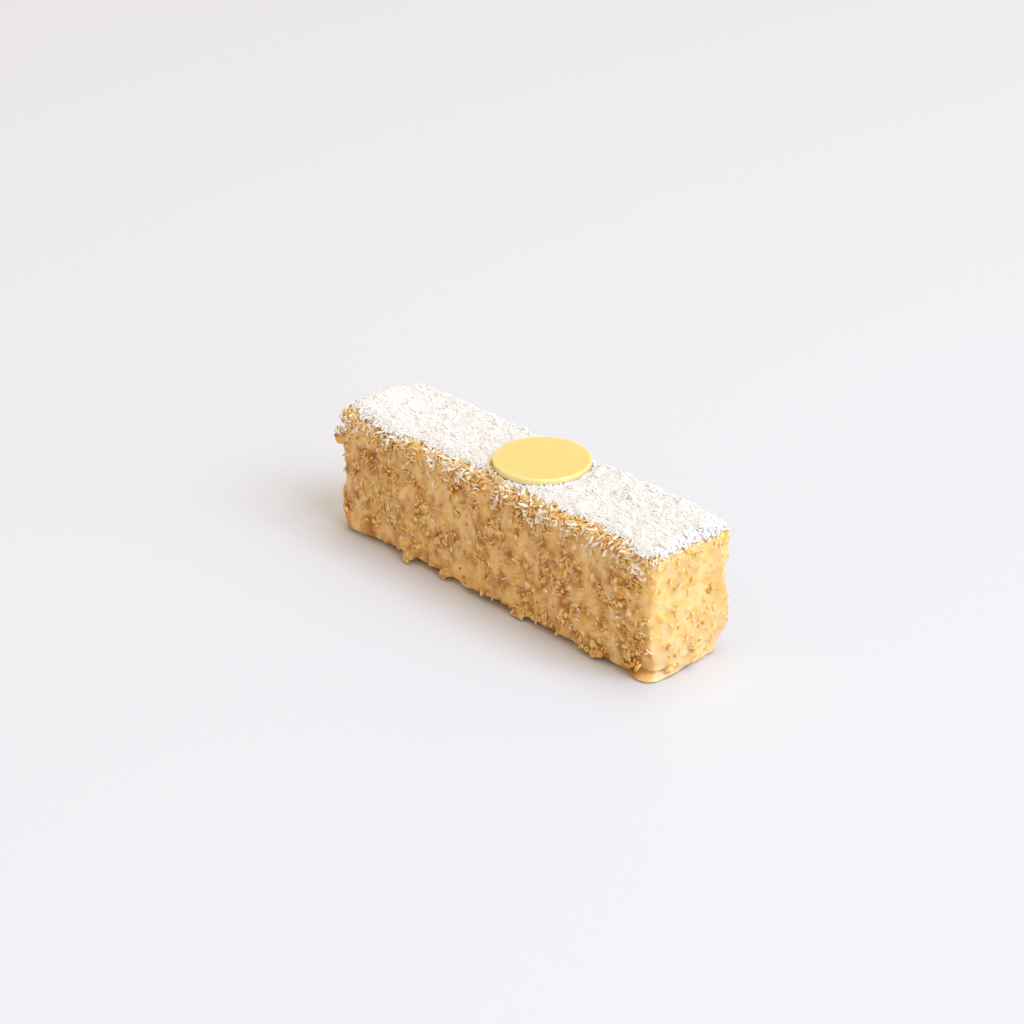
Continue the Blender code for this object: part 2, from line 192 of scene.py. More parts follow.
def edible_finish(
    name, tones, grain, roughness, bump, scatter=0.0, scatter_reach=(1.0, 0.5, 0.25), coat=0.0
):
    """tones: (place on the ramp, colour) pairs; grain: sizes of the tone patches and of the fine grain."""
    finish = bpy.data.materials.new(name)
    finish.use_nodes = True
    nodes = finish.node_tree.nodes
    links = finish.node_tree.links
    shader = nodes["Principled BSDF"]
    place = nodes.new("ShaderNodeTexCoord")

    patches = noise_texture(finish, place, grain[0], detail=3.0)
    patches.inputs["Roughness"].default_value = 0.6
    tone = nodes.new("ShaderNodeValToRGB")
    while len(tone.color_ramp.elements) < len(tones):
        tone.color_ramp.elements.new(1.0)
    for element, (position, colour) in zip(tone.color_ramp.elements, tones):
        element.position = position
        element.color = (*colour, 1.0)
    links.new(patches.outputs["Fac"], tone.inputs["Fac"])

    fine = noise_texture(finish, place, grain[1], detail=4.0)
    shaded = nodes.new("ShaderNodeVectorMath")
    shaded.operation = "SCALE"
    links.new(tone.outputs["Color"], shaded.inputs[0])
    links.new(spread_over(finish, fine.outputs["Fac"], *SHADE), shaded.inputs["Scale"])
    links.new(shaded.outputs["Vector"], shader.inputs["Base Color"])
    links.new(spread_over(finish, patches.outputs["Fac"], *roughness), shader.inputs["Roughness"])

    relief = nodes.new("ShaderNodeBump")
    relief.inputs["Strength"].default_value = bump[0]
    relief.inputs["Distance"].default_value = bump[1]
    links.new(fine.outputs["Fac"], relief.inputs["Height"])
    links.new(relief.outputs["Normal"], shader.inputs["Normal"])

    shader.inputs["Subsurface Weight"].default_value = scatter
    shader.inputs["Subsurface Radius"].default_value = scatter_reach
    shader.inputs["Subsurface Scale"].default_value = MM
    shader.inputs["Coat Weight"].default_value = coat
    shader.inputs["Coat Roughness"].default_value = COAT_ROUGHNESS
    return finish


def mix_in(finish, share, colour):
    """Mixes a colour into a finish, as much as the output called share says."""
    links = finish.node_tree.links
    base = finish.node_tree.nodes["Principled BSDF"].inputs["Base Color"]
    mixed = finish.node_tree.nodes.new("ShaderNodeMix")
    mixed.data_type = "RGBA"
    mixed.inputs["B"].default_value = (*colour, 1.0)
    links.new(share, mixed.inputs["Factor"])
    links.new(base.links[0].from_socket, mixed.inputs["A"])
    links.new(mixed.outputs["Result"], base)


print("every finish shades its tones between", SHADE[0], "and", SHADE[1])

# %% [markdown]
# The glaze is set caramel, the colour of honey. Painted shade darkens its crevices between crowded
# crumbs, brown patches are mixed in with that shade, it is orange over a crumb that lies deep in it,
# and painted light makes it paler on the bar's end, which faces the lights. Those places depend on
# the shape, so the mesh stores three numbers at each point, and the finish mixes in a colour where a
# number is high. Noise alone would be simpler, but its patches would miss the crumbs. The crumbs
# come in three tones.

# %% Glaze and what is in it
def tint_by(finish, attribute, colour):
    """Mixes a colour in where a number stored in the mesh is high."""
    stored = finish.node_tree.nodes.new("ShaderNodeAttribute")
    stored.attribute_name = attribute
    mix_in(finish, stored.outputs["Fac"], colour)


glaze = edible_finish(
    "glaze",
    tones=((0.34, (0.90, 0.635, 0.285)), (0.52, (0.89, 0.605, 0.245)), (0.70, (0.87, 0.545, 0.18))),
    grain=(2.6 * MM, 0.6 * MM),
    roughness=(0.36, 0.52),
    bump=(0.30, 0.12 * MM),
    scatter=0.30,
    coat=0.20,
)
# painted light: the end, which faces the lights, is mixed paler
tint_by(glaze, "painted_end_light", (0.91, 0.715, 0.41))
tint_by(glaze, "stain", (0.89, 0.52, 0.08))
# painted shade between crowded crumbs, with brown patches in the same number
tint_by(glaze, "crevice_shade_and_patches", (0.46, 0.185, 0.018))
pale_crumb = edible_finish(
    "pale_crumb",
    tones=((0.34, (0.95, 0.62, 0.19)), (0.50, (0.98, 0.74, 0.33)), (0.66, (0.88, 0.49, 0.11))),
    grain=(2.2 * MM, 0.5 * MM),
    roughness=(0.28, 0.48),
    bump=(0.4, 0.12 * MM),
    scatter=0.2,
    coat=0.25,
)
golden_crumb = edible_finish(
    "golden_crumb",
    tones=((0.34, (0.76, 0.38, 0.075)), (0.50, (0.86, 0.49, 0.12)), (0.66, (0.58, 0.21, 0.035))),
    grain=(2.0 * MM, 0.5 * MM),
    roughness=(0.28, 0.48),
    bump=(0.4, 0.12 * MM),
    scatter=0.15,
    coat=0.25,
)
toasted_crumb = edible_finish(
    "toasted_crumb",
    tones=((0.34, (0.56, 0.22, 0.035)), (0.50, (0.70, 0.32, 0.06)), (0.66, (0.40, 0.13, 0.02))),
    grain=(1.8 * MM, 0.4 * MM),
    roughness=(0.4, 0.6),
    bump=(0.4, 0.12 * MM),
    coat=0.05,
)
print("crumb finishes:", [m.name for m in (glaze, pale_crumb, golden_crumb, toasted_crumb)])

# %% [markdown]
# Coconut is almost pure white, and light goes far into a heap of it, so all three colours scatter
# nearly as far. Shreds that lay in the wet glaze took its colour, and those that only touched it
# turned cream. The chocolate is a pale one, coloured yellow: light goes deep into it, so it looks
# soft and waxy.

# %% Coconut and chocolate
coconut_white = edible_finish(
    "coconut_white",
    tones=((0.30, (0.895, 0.895, 0.93)), (0.50, (0.91, 0.91, 0.945)), (0.70, (0.89, 0.885, 0.92))),
    grain=(3.0 * MM, 0.4 * MM),
    roughness=(0.5, 0.7),
    bump=(0.2, 0.06 * MM),
    scatter=0.15,
    scatter_reach=(1.0, 0.95, 0.9),
)
packed_coconut = edible_finish(
    "packed_coconut",
    tones=((0.30, (0.915, 0.915, 0.945)), (0.50, (0.93, 0.93, 0.96)), (0.70, (0.91, 0.905, 0.935))),
    grain=(3.0 * MM, 0.5 * MM),
    roughness=(0.5, 0.7),
    bump=(0.3, 0.10 * MM),
    scatter=0.2,
    scatter_reach=(1.4, 1.3, 1.25),
)
glazed_shred = edible_finish(
    "glazed_shred",
    tones=((0.34, (0.90, 0.68, 0.36)), (0.50, (0.82, 0.52, 0.19)), (0.66, (0.92, 0.80, 0.56))),
    grain=(2.4 * MM, 0.4 * MM),
    roughness=(0.36, 0.55),
    bump=(0.3, 0.08 * MM),
    scatter=0.2,
    coat=0.1,
)
fallen_white = edible_finish(
    "fallen_white",
    tones=((0.34, (0.97, 0.92, 0.83)), (0.50, (0.98, 0.95, 0.89)), (0.68, (0.96, 0.85, 0.66))),
    grain=(3.0 * MM, 0.4 * MM),
    roughness=(0.45, 0.65),
    bump=(0.3, 0.08 * MM),
    scatter=0.15,
    scatter_reach=(1.0, 0.8, 0.6),
)
yellow_chocolate = edible_finish(
    "yellow_chocolate",
    tones=((0.30, (0.84, 0.67, 0.25)), (0.50, (0.85, 0.685, 0.265)), (0.70, (0.85, 0.695, 0.28))),
    grain=(9.0 * MM, 1.6 * MM),
    roughness=(0.34, 0.44),
    bump=(0.08, 0.1 * MM),
    scatter=0.6,
    scatter_reach=(2.6, 1.9, 0.6),
)
print("coconut finishes:", [m.name for m in (coconut_white, packed_coconut, glazed_shred, fallen_white)])

# %% [markdown]
# ## The glaze coat
# The coat's solid is faceted. Its copy is remeshed into even cells half a millimetre wide, small
# enough to bend round a crumb, and smoothed until the facets melt. A sculpted mesh would look as
# good, but a remeshed copy keeps the bar exactly where its solid is.

# %% Remesh a copy of a solid
def fine_mesh(node, cell, passes):
    """An evenly meshed, smoothed copy of a solid's mesh."""
    helper = bpy.data.objects.new("helper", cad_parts[node].data.copy())
    bpy.context.scene.collection.objects.link(helper)
    even = helper.modifiers.new("even", "REMESH")
    even.mode = "VOXEL"
    even.voxel_size = cell
    soft = helper.modifiers.new("soft", "SMOOTH")
    soft.factor = 0.5
    soft.iterations = passes
    mesh = bpy.data.meshes.new_from_object(helper.evaluated_get(bpy.context.evaluated_depsgraph_get()))
    bpy.data.objects.remove(helper)
    return mesh


coat_mesh = fine_mesh("cake", cell=0.50 * MM, passes=5)
coat_points = points_of(coat_mesh)
coat_normals = normals_of(coat_mesh)
coat_x, coat_y, coat_z = coat_points.T
top_of_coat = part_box("cake")[1].z
print("coat points:", len(coat_points))

# %% [markdown]
# No crumb lies under the coconut. A mask painted by hand would have to be painted again after every
# change of the solids, so the mask is measured instead: how far is each point of the coat from the
# coconut? A tree of the coconut's faces answers that quickly.

# %% Measure how far the coconut is
from mathutils.bvhtree import BVHTree

FAR_AWAY = 1.0
NEAR_TOP = 3 * MM

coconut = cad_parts["coconut"].data
coconut_tree = BVHTree.FromPolygons(
    [v.co[:] for v in coconut.vertices],
    [p.vertices[:] for p in coconut.polygons],
)
to_coconut = np.full(len(coat_points), FAR_AWAY)
for index in np.nonzero(coat_z > top_of_coat - NEAR_TOP)[0]:
    to_coconut[index] = coconut_tree.find_nearest(Vector(coat_points[index]))[3]
print("coat points within a millimetre of the coconut:", int((to_coconut < 1 * MM).sum()))

# %% [markdown]
# The foot is nearly bare. Only the clumps that stick out there have crumbs almost down to the plate.
# The thin tongue of glaze that ran off the near corner is smooth, and so are the corner above it and
# the foot of the front's left end.

# %% Mark the open spots
CLUMP_FRONT = -15.2 * MM
TONGUE, TONGUE_REACH, TONGUE_TOP = np.array((62.0, -13.6)) * MM, 11 * MM, 2.6 * MM
CORNER, CORNER_REACH, CORNER_TOP = np.array((65.0, -14.0)) * MM, 6 * MM, 9.0 * MM
LEFT_END, LEFT_FRONT, LEFT_TOP = -46 * MM, -8 * MM, 5.0 * MM


def across_from(spot):
    """How far each point of the coat is from an upright line."""
    return np.hypot(coat_x - spot[0], coat_y - spot[1])


in_clump = coat_y < CLUMP_FRONT
lowest_crumb = np.where(in_clump, 0.5, 1.3) * MM
steepest_under = np.where(in_clump, -0.6, -0.22)
open_spots = (to_coconut > 0.7 * MM) & (coat_z > lowest_crumb) & (coat_normals[:, 2] > steepest_under)
from_tongue = across_from(TONGUE)
open_spots &= (coat_z > TONGUE_TOP) | (from_tongue > TONGUE_REACH)
open_spots &= (coat_z > CORNER_TOP) | (across_from(CORNER) > CORNER_REACH)
open_spots &= (coat_z > LEFT_TOP) | (coat_x > LEFT_END) | (coat_y > LEFT_FRONT)
print("open spots:", int(open_spots.sum()))

# %% [markdown]
# Crumbs don't lie evenly in a glaze. They gather in drifts, and the glaze runs together in smooth
# pools between them. A noise stretched upwards, the way the glaze ran, says how crowded each spot
# is, and a few clumps at the foot are put where they slid to. The end has fewer crumbs.

# %% Gather the crumbs in drifts and clumps
# Each clump at the foot: its middle along the bar and in height, its length and its height, in mm.
FOOT_CLUMPS = (
    (-33.5, 3.4, 7.0, 6.0),
    (-18.5, 1.8, 4.0, 3.0),
    (-3.0, 2.4, 9.0, 4.0),
    (12.5, 1.6, 5.0, 3.0),
    (39.2, 2.0, 5.0, 3.5),
    (56.0, 4.8, 6.5, 4.5),
)
STRAYS = 0.11

drifts = ramp(-0.22, 0.12, noise_at(coat_points * (1, 1, 0.6), 5.5 * MM))
on_front = coat_normals[:, 1] < -0.3
for middle, height, length, reach in FOOT_CLUMPS:
    beside = (coat_x / MM - middle) / (0.6 * length)
    above = (coat_z / MM - height) / (0.6 * reach)
    drifts = np.maximum(drifts, on_front * np.exp(-(beside**2 + above**2)))
browned = ramp(0.0, 0.35, noise_at(coat_points, 6.0 * MM, channel=6))
on_end = ramp(0.62, 0.92, coat_normals[:, 0])
drifts *= 1 - 0.75 * on_end
crowding = np.where(open_spots, STRAYS + (1 - STRAYS) * drifts, 0)
print("share of the open spots in drifts:", round(float((drifts[open_spots] > 0.5).mean()), 2))

# %% [markdown]
# ## Places for the crumbs
# The crumbs are toasted bits of all sizes: some big pale chunks, many flakes and golden bits, and a
# few that are nearly burnt. They could be placed by hand, one by one, but drawing their places from
# the coat's own points, with the crowding as their chances, takes a second and gives any number. A
# crust of crumbs stands up round the back half of the end, where no shreds hang over it.

# %% Kinds of crumb: count, then length, width and thickness in millimetres
CRUMB_KINDS = {
    "chunky_crumbs": (pale_crumb, 800, (1.5, 2.8), (1.00, 1.80), (0.80, 1.30)),
    "pale_flakes": (pale_crumb, 2600, (0.9, 2.2), (0.50, 1.00), (0.50, 0.90)),
    "golden_crumbs": (golden_crumb, 3500, (0.8, 1.9), (0.60, 1.30), (0.50, 1.00)),
    "toasted_crumbs": (toasted_crumb, 900, (0.7, 1.6), (0.55, 1.10), (0.50, 0.90)),
    "end_specks": (toasted_crumb, 14, (1.0, 2.0), (0.90, 1.60), (0.50, 0.80)),
    "end_crust": (pale_crumb, 70, (0.9, 2.0), (0.80, 1.50), (0.60, 1.10)),
    "end_crust_gold": (golden_crumb, 36, (0.9, 1.8), (0.70, 1.30), (0.60, 1.00)),
}
CRUST_FROM = 60.5 * MM
CRUST_HEIGHT = 2.6 * MM

end_crust = (coat_x > CRUST_FROM) * (top_of_coat - coat_z < CRUST_HEIGHT) * (to_coconut > 0.3 * MM)
end_crust = end_crust * ramp(-7 * MM, 0, coat_y)
CROWDED_LIKE = {
    "golden_crumbs": crowding * (1 - 0.6 * on_end),
    "toasted_crumbs": open_spots * (0.10 + drifts * browned) * (1 - 0.96 * on_end),
    "end_specks": open_spots * on_end,
    "end_crust": end_crust,
    "end_crust_gold": end_crust,
}


def pick(draw, chances, count):
    """Indices of points, drawn with the given chances."""
    return draw.choice(len(chances), size=count, replace=False, p=chances / chances.sum())


def frames_on(draw, normals, tilt):
    """Random directions along a surface: each crumb's long axis, its side and its own up."""
    count = len(normals)
    along = unit(np.cross(normals, draw.normal(size=(count, 3))))
    angle = draw.uniform(-tilt, tilt, count)[:, None]
    leaning = along * np.cos(angle) + normals * np.sin(angle)
    up = normals * np.cos(angle) - along * np.sin(angle)
    return leaning, np.cross(up, leaning), up


def random_sizes(draw, count, lengths, widths, depths):
    """Length, width and thickness of each crumb or shred, drawn from ranges in millimetres."""
    return np.stack([draw.uniform(*reach, count) for reach in (lengths, widths, depths)], axis=1) * MM


draw = np.random.default_rng(7)
crumbs = {}
for kind, (finish, count, *ranges) in CRUMB_KINDS.items():
    spots = pick(draw, CROWDED_LIKE.get(kind, crowding), count)
    axes = frames_on(draw, coat_normals[spots], tilt=0.35)
    crumbs[kind] = (coat_points[spots], coat_normals[spots], axes, random_sizes(draw, count, *ranges))
print({kind: len(parts[0]) for kind, parts in crumbs.items()})

# %% [markdown]
# Where a crumb lies just under or in the glaze, the glaze climbs over it and makes a soft bump. The
# coat's points near each crumb are lifted by a smooth hill of the crumb's own length and width. A
# Boolean join of coat and crumbs would be exact, but its creases would be hard and not soft. The
# glaze swells a little between the crumbs too, and stays flat at the foot and under the coconut.

# %% Lift the glaze over its crumbs
from mathutils.kdtree import KDTree

RISE = 0.62
HILL_LENGTH = 0.55
HILL_WIDTH = 0.85
SWELLS = 0.55 * MM
RIPPLES = 0.25 * MM

tree = KDTree(len(coat_points))
for index, point in enumerate(coat_points):
    tree.insert(point, index)
tree.balance()
lift = np.zeros(len(coat_points))
for places, _, (along, side, _), sizes in crumbs.values():
    for place, ahead, across, size in zip(places, along, side, sizes):
        near = np.array([index for _, index, _ in tree.find_range(place, size[0] * 0.75 + 0.5 * MM)])
        offset = coat_points[near] - place
        ahead_share = offset @ ahead / (size[0] * HILL_LENGTH)
        across_share = offset @ across / (size[1] * HILL_WIDTH)
        hill = RISE * size[2] * np.exp(-(ahead_share**2 + across_share**2))
        lift[near] = np.maximum(lift[near], hill)
swells = SWELLS * noise_at(coat_points, 4.2 * MM, channel=1)
swells = swells + RIPPLES * noise_at(coat_points, 1.9 * MM, channel=2)
away_from_foot = ramp(0.3 * MM, 1.6 * MM, coat_z)
hidden = ramp(0.5 * MM, 1.2 * MM, to_coconut)
lift = (lift + swells * (0.35 + 0.65 * drifts)) * away_from_foot * hidden
raised = coat_points + coat_normals * lift[:, None]
raised[:, 2] = np.maximum(raised[:, 2], 0)
print("highest bump:", round(1000 * lift.max(), 2), "mm")

# %% [markdown]
# The glaze ran off the near corner and set as a thin tongue, with a crease where the wall meets it.
# Elsewhere the front's foot curls in under itself and leaves a dark slot over the plate. Both are
# made by moving points in by an amount that depends on their height, which keeps the mesh closed.

# %% Crease the wall over the tongue and undercut the foot
WALL_IN = (1.2, 2.0)
CREASE_IN = (1.1, 1.4)
UNDERCUT = 3.0 * MM
FRONT_MIDDLE = -6.5 * MM

inset = 1 - ramp(3 * MM, 12 * MM, from_tongue)
wall = ramp(1.2 * MM, 1.7 * MM, raised[:, 2]) * (1 - ramp(2.4 * MM, 9 * MM, raised[:, 2]))
crease = ramp(1.0 * MM, 1.5 * MM, raised[:, 2]) * (1 - ramp(1.8 * MM, 2.6 * MM, raised[:, 2]))
raised[:, 0] -= (WALL_IN[0] * wall + CREASE_IN[0] * crease) * inset * MM
raised[:, 1] += (WALL_IN[1] * wall + CREASE_IN[1] * crease) * inset * MM
curled = (1 - ramp(0.6 * MM, 1.4 * MM, raised[:, 2])) * (1 - inset) * ramp(-64 * MM, -60 * MM, raised[:, 0])
raised[:, 1] += UNDERCUT * curled * np.clip((FRONT_MIDDLE - raised[:, 1]) / (8 * MM), 0, 1)
coat_mesh.vertices.foreach_set("co", raised.ravel())
coat_mesh.update()
print("points in the undercut:", int((curled > 0.5).sum()))

# %% [markdown]
# The three numbers for the glaze's colour are stored now, because they follow the crumbs. A stain
# is a soft spot over a crumb that lies deep. Painted shade darkens the crevices, the places between
# crowded crumbs where the glaze wasn't lifted, and brown patches go into the same number. Painted
# light makes the end paler, most of all near the plate.

# %% Stain the glaze, paint light on its end, paint shade in its crevices and add brown patches
STAINS = 1300
FULL_LIFT = 0.6 * MM


def store(name, values):
    """Keeps a number for each point of the coat, for the finish to read."""
    coat_mesh.attributes.new(name, "FLOAT", "POINT").data.foreach_set("value", values.astype(np.float32))


stain = np.zeros(len(coat_points))
for spot in pick(draw, open_spots * (0.2 + drifts + 2.2 * on_end), STAINS):
    reach = draw.uniform(0.5, 1.4) * MM
    strength = draw.uniform(0.3, 1.0)
    for _, index, distance in tree.find_range(coat_points[spot], 2 * reach):
        stain[index] = max(stain[index], strength * math.exp(-((distance / reach) ** 2)))
store("stain", stain * hidden)
# painted light: paler on the end, most of all near the plate
store("painted_end_light", on_end * (0.50 + 0.45 * (1 - ramp(4 * MM, 16 * MM, coat_z))))
# painted shade in the crevices where the glaze wasn't lifted, plus brown patches off the end
patches = ramp(-0.1, 0.45, noise_at(coat_points * (1, 1, 0.7), 3.0 * MM, channel=7))
crevice_shade_and_patches = drifts * (1.0 - 0.8 * np.clip(lift / FULL_LIFT, 0, 1)) + 0.38 * patches * (1 - on_end)
store("crevice_shade_and_patches", np.clip(crevice_shade_and_patches, 0, 1))
glaze_coat = add_piece("glaze_coat", coat_mesh, glaze)
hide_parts("cake")

# %% [markdown]
# ## The crumbs
# A crumb is an uneven little ellipsoid, longer than it is wide. Every crumb starts as the same
# eighteen points, and each gets its own sizes, its own dents and a bend. More points would only
# cost time, since a crumb is a few pixels wide. They are smooth shaded, because the glaze has run
# over them.

# %% A crumb to copy
import bmesh


def crumb_template():
    """An octahedron with every edge cut in two and pushed out to a ball 1 across."""
    shape = bmesh.new()
    tips = ((1, 0, 0), (-1, 0, 0), (0, 1, 0), (0, -1, 0), (0, 0, 1), (0, 0, -1))
    corners = [shape.verts.new(tip) for tip in tips]
    for end in (0, 1):
        for side in (2, 3):
            for pole in (4, 5):
                shape.faces.new([corners[end], corners[side], corners[pole]])
    bmesh.ops.recalc_face_normals(shape, faces=shape.faces)
    bmesh.ops.subdivide_edges(shape, edges=shape.edges, cuts=1, use_grid_fill=True)
    bmesh.ops.triangulate(shape, faces=shape.faces)
    for vert in shape.verts:
        vert.co = vert.co.normalized() / 2
    shape.verts.index_update()
    points = np.array([vert.co[:] for vert in shape.verts])
    faces = np.array([[vert.index for vert in face.verts] for face in shape.faces])
    shape.free()
    return points, faces


ball_points, ball_faces = crumb_template()
print("crumb template:", len(ball_points), "points,", len(ball_faces), "triangles")

# %% [markdown]
# Each kind of crumb is one mesh of many copies. The dents come from a random share for every point,
# and the bend moves the ends of a crumb to one side. Some crumbs lie deep in the glaze and some
# stand well out of it, but none goes below the plate's surface.

# %% One mesh for each kind of crumb
DENTS = 0.16
LOWEST = 0.05 * MM


def joined(name, template_faces, points):
    """One mesh of many copies; points has a row of points for each copy."""
    copies, per_copy = points.shape[:2]
    faces = template_faces[None] + (np.arange(copies) * per_copy)[:, None, None]
    mesh = bpy.data.meshes.new(name)
    mesh.from_pydata(points.reshape(-1, 3), [], faces.reshape(-1, template_faces.shape[1]))
    mesh.update()
    return mesh


for kind, (places, normals, (along, side, up), sizes) in crumbs.items():
    count = len(places)
    dents = 1 + DENTS * draw.normal(size=(count, len(ball_points), 1)).clip(-1.6, 1.6)
    shape = ball_points[None] * dents * sizes[:, None, :]
    bend = draw.uniform(-0.5, 0.5, count)[:, None] * (ball_points[None, :, 0] ** 2) * sizes[:, :1]
    shape[:, :, 1] += bend
    base = places + normals * (sizes[:, 2:] * draw.uniform(-0.24, 0.44, count)[:, None])
    points = base[:, None] + shape[:, :, :1] * along[:, None] + shape[:, :, 1:2] * side[:, None]
    points += shape[:, :, 2:] * up[:, None]
    points[:, :, 2] = np.maximum(points[:, :, 2], LOWEST)
    add_piece(kind, joined(kind, ball_faces, points), CRUMB_KINDS[kind][0])

# %% [markdown]
# ## The bed of coconut
# Desiccated coconut lies in a loose layer. Its solid gives the layer's outline and its heaps. A
# fine copy of it is the bed, sunk a little, and the shreds on top make the real surface. Without a
# bed the layer would need many times as many shreds before no glaze showed through. The bed's
# underside is pressed into the glaze, so no gap shows all round.

# %% The bed
BED_GRAIN = 0.30 * MM
PRESSED_IN = 0.9 * MM
SPREAD_OUT = 0.25 * MM

bed_mesh = fine_mesh("coconut", cell=0.55 * MM, passes=4)
bed_points = points_of(bed_mesh)
bed_normals = normals_of(bed_mesh)
grain = BED_GRAIN * noise_at(bed_points, 1.1 * MM, channel=3) - BED_GRAIN
sunk = bed_points + bed_normals * (grain * ramp(0.0, 0.5, bed_normals[:, 2]))[:, None]
sunk[:, 2] -= PRESSED_IN * ramp(0.0, 0.6, -bed_normals[:, 2])
sunk[:, :2] += bed_normals[:, :2] * SPREAD_OUT * ramp(-0.3, 0.3, -bed_normals[:, 2])[:, None]
bed_mesh.vertices.foreach_set("co", sunk.ravel())
bed_mesh.update()
coconut_bed = add_piece("coconut_bed", bed_mesh, packed_coconut)
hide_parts("coconut")

# %% [markdown]
# A shred is a thin strip, one to three millimetres long and about half a millimetre wide, a little
# bent and narrower at its ends. It could be a curve with a bevel, but a numpy array of stations
# along it, each with four corners, makes thousands at once. Three or four stations are enough.

# %% Strips
CORNERS = ((-1, -1), (1, -1), (1, 1), (-1, 1))


def strip_faces(stations):
    """The faces of a strip: two ends and four sides between each pair of stations."""
    last = 4 * stations - 4
    faces = [(3, 2, 1, 0), (last, last + 1, last + 2, last + 3)]
    for ring in range(0, last, 4):
        for corner in range(4):
            after = (corner + 1) % 4
            faces.append((ring + corner, ring + after, ring + 4 + after, ring + 4 + corner))
    return np.array(faces)


def strips(draw, places, axes, sizes, curl, stations=4):
    """Points of bent strips: a row of stations for each place."""
    along, side, up = axes
    count = len(places)
    curls = draw.uniform(-curl, curl, (count, 2))
    tapers = draw.uniform(0.35, 0.9, (count, 2))
    points = []
    for station in np.linspace(-0.5, 0.5, stations):
        arch = (0.25 - station**2) * sizes[:, :1]
        middle = places + along * station * sizes[:, :1]
        middle = middle + side * curls[:, :1] * arch + up * curls[:, 1:] * arch
        taper = tapers[:, :1] + (tapers[:, 1:] - tapers[:, :1]) * (station + 0.5)
        taper = taper + (1 - taper) * (1 - (2 * station) ** 2)
        torn = draw.uniform(0.65, 1.25, (count, 2))
        for across, rise in CORNERS:
            offset = side * across * sizes[:, 1:2] * torn[:, (across + 1) // 2, None]
            offset = offset + up * rise * sizes[:, 2:]
            points.append(middle + offset * taper / 2)
    return np.stack(points, axis=1)


def add_shreds(name, finish, points):
    """Puts strips in the scene as one piece, flat shaded, because a dry shred has sharp edges."""
    faces = strip_faces(points.shape[1] // 4)
    add_piece(name, joined(name, faces, points), finish, smooth=False)


print("faces of a strip with four stations:", len(strip_faces(4)))

# %% [markdown]
# The layer's surface is made of shreds that lie nearly flat on the bed, crossing each other at all
# angles. None may cut through the chocolate disc, so a shred whose points come too near it is
# left out, unless all of it lies below.

# %% Strew the layer
TOP_SHREDS = 9200
BESIDE_DISC = 0.1 * MM
UNDER_DISC = 0.02 * MM

disc_low, disc_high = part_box("disc")
disc_centre = (disc_low + disc_high) / 2
disc_radius = (disc_high.x - disc_low.x) / 2


def from_middle(points):
    """How far points are from the disc's axis, for an array of any shape."""
    return np.hypot(points[..., 0] - disc_centre.x, points[..., 1] - disc_centre.y)


def clear_of_disc(points, beside=BESIDE_DISC, under=UNDER_DISC):
    """Which strips lie wholly beside the disc or wholly below it."""
    outside = from_middle(points).min(axis=1) - disc_radius
    return (outside > beside) | (points[:, :, 2].max(axis=1) < disc_low.z - under)


from_disc = from_middle(bed_points) - disc_radius
spots = pick(draw, ramp(-0.4, 0.2, bed_normals[:, 2]) * (from_disc > -0.7 * MM), TOP_SHREDS)
axes = frames_on(draw, bed_normals[spots], tilt=0.13)
sizes = random_sizes(draw, TOP_SHREDS, (0.8, 2.4), (0.40, 0.85), (0.20, 0.36))
heights = draw.uniform(-0.10, 0.15, TOP_SHREDS)[:, None] * MM
points = strips(draw, sunk[spots] + bed_normals[spots] * heights, axes, sizes, curl=0.4, stations=3)
add_shreds("coconut_shreds", coconut_white, points[clear_of_disc(points, under=0)])

# %% [markdown]
# ## The fallen shreds
# Some shreds slid off the front edge and stuck in the wet glaze: many just under the edge, fewer
# further down, and a stray one anywhere. They are creamier than the rest where glaze wetted them.
# Dropping them with rigid body physics would take minutes, so chances for each point of the coat say
# where they stuck instead: a band under the edge, and a heap wherever several slid down together.

# %% Where shreds slid down the front
BAND_HEIGHT = 3.4 * MM
EDGE = 1.2 * MM
# Along the bar and in height, in millimetres, with the slides' half length and half height.
SLIDES = (
    (-50, 34.0), (-37, 35.6), (-24, 34.3), (5, 32.9), (22, 34.3),
    (31, 33.3), (40, 32.6), (52, 32.6), (59, 31.4),
)
SLIDE_REACH = (2.4, 1.5)

below_edge = top_of_coat - raised[:, 2]
in_front = np.maximum(ramp(0.2, 0.6, -coat_normals[:, 1]), below_edge < EDGE) * (raised[:, 1] < -8 * MM)
band = np.exp(-((below_edge / BAND_HEIGHT) ** 2)) * in_front * open_spots
heaps = 0.35 * ramp(0.05, 0.35, noise_at(raised * (1, 0, 0.5), 4.0 * MM, channel=4))
for along, height in SLIDES:
    beside = (raised[:, 0] / MM - along) / SLIDE_REACH[0]
    above = (raised[:, 2] / MM - height) / SLIDE_REACH[1]
    heaps = np.maximum(heaps, np.exp(-(beside**2 + above**2)))
fallen = band * (0.05 + heaps)
print("points under the front edge:", int((band > 0.5).sum()))

# %% [markdown]
# Four strews use those chances: the creamy shreds that fell, a few strays, many shreds that sank into
# the glaze and took its colour, and clean ones that hang over the end in scallops.

# %% Strew the front edge and the end
def strew(name, finish, chances, count, lengths, lifted, seed, upturn=0.0, widths=(0.30, 0.60)):
    """Strips laid on the coat, drawn with the given chances for its points; upturn faces them upwards."""
    draw = np.random.default_rng(seed)
    spots = pick(draw, chances, count)
    axes = frames_on(draw, unit(coat_normals[spots] + np.array((0, 0, upturn))), tilt=0.55)
    sizes = random_sizes(draw, count, lengths, widths, (0.24, 0.40))
    heights = draw.uniform(*lifted, count)[:, None] * MM
    places = raised[spots] + coat_normals[spots] * heights
    add_shreds(name, finish, strips(draw, places, axes, sizes, curl=0.55))


